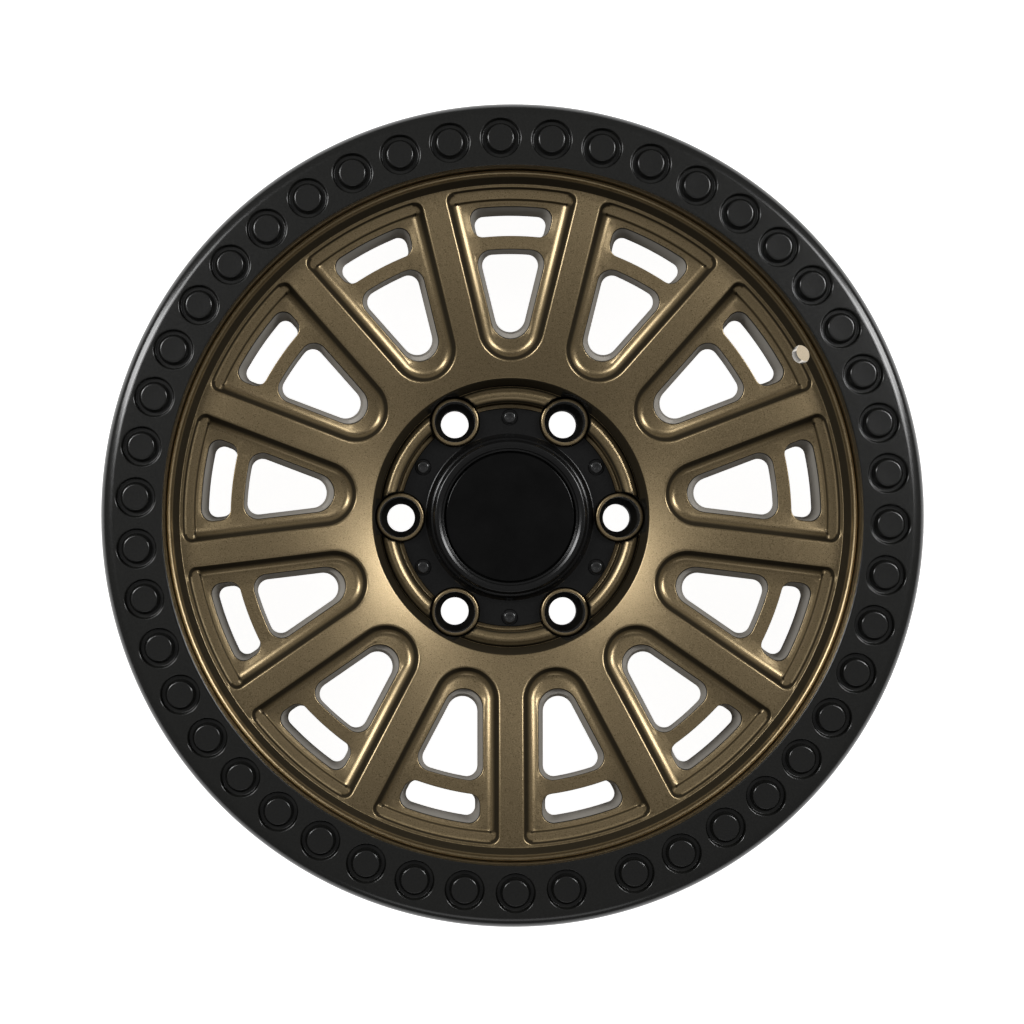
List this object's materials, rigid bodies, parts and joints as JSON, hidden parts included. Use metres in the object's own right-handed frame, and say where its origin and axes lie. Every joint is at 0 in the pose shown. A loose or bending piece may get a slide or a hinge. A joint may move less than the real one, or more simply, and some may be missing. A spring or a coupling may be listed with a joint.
{
  "type": "car wheel",
  "caption": "Bare cast car wheel with pocketed spokes, a black bead ring bolted to its front flange and a screwed black centre cap; bolts to a hub and carries a tyre.",
  "frame": {"origin": "centre of the hub mounting face", "axes": "+Z outboard along the wheel's axis, so the wheel lies face up; +Y towards the middle of a spoke pocket, +X to its right"},
  "size_m": [0.5039, 0.504, 0.2614],
  "materials": {
    "bronze_paint": "satin bronze paint",
    "ring_black": "satin black paint",
    "bolt_black": "satin black",
    "cap_black": "satin",
    "cap_gloss": "gloss",
    "screw_black": "satin black"
  },
  "bodies": {
    "root": {"wheel_casting": "bronze_paint", "bead_ring": "ring_black", "ring_bolts": "bolt_black", "cap_body": "cap_black", "cap_disc": "cap_gloss", "cap_screws": "screw_black"}
  },
  "joints": []
}
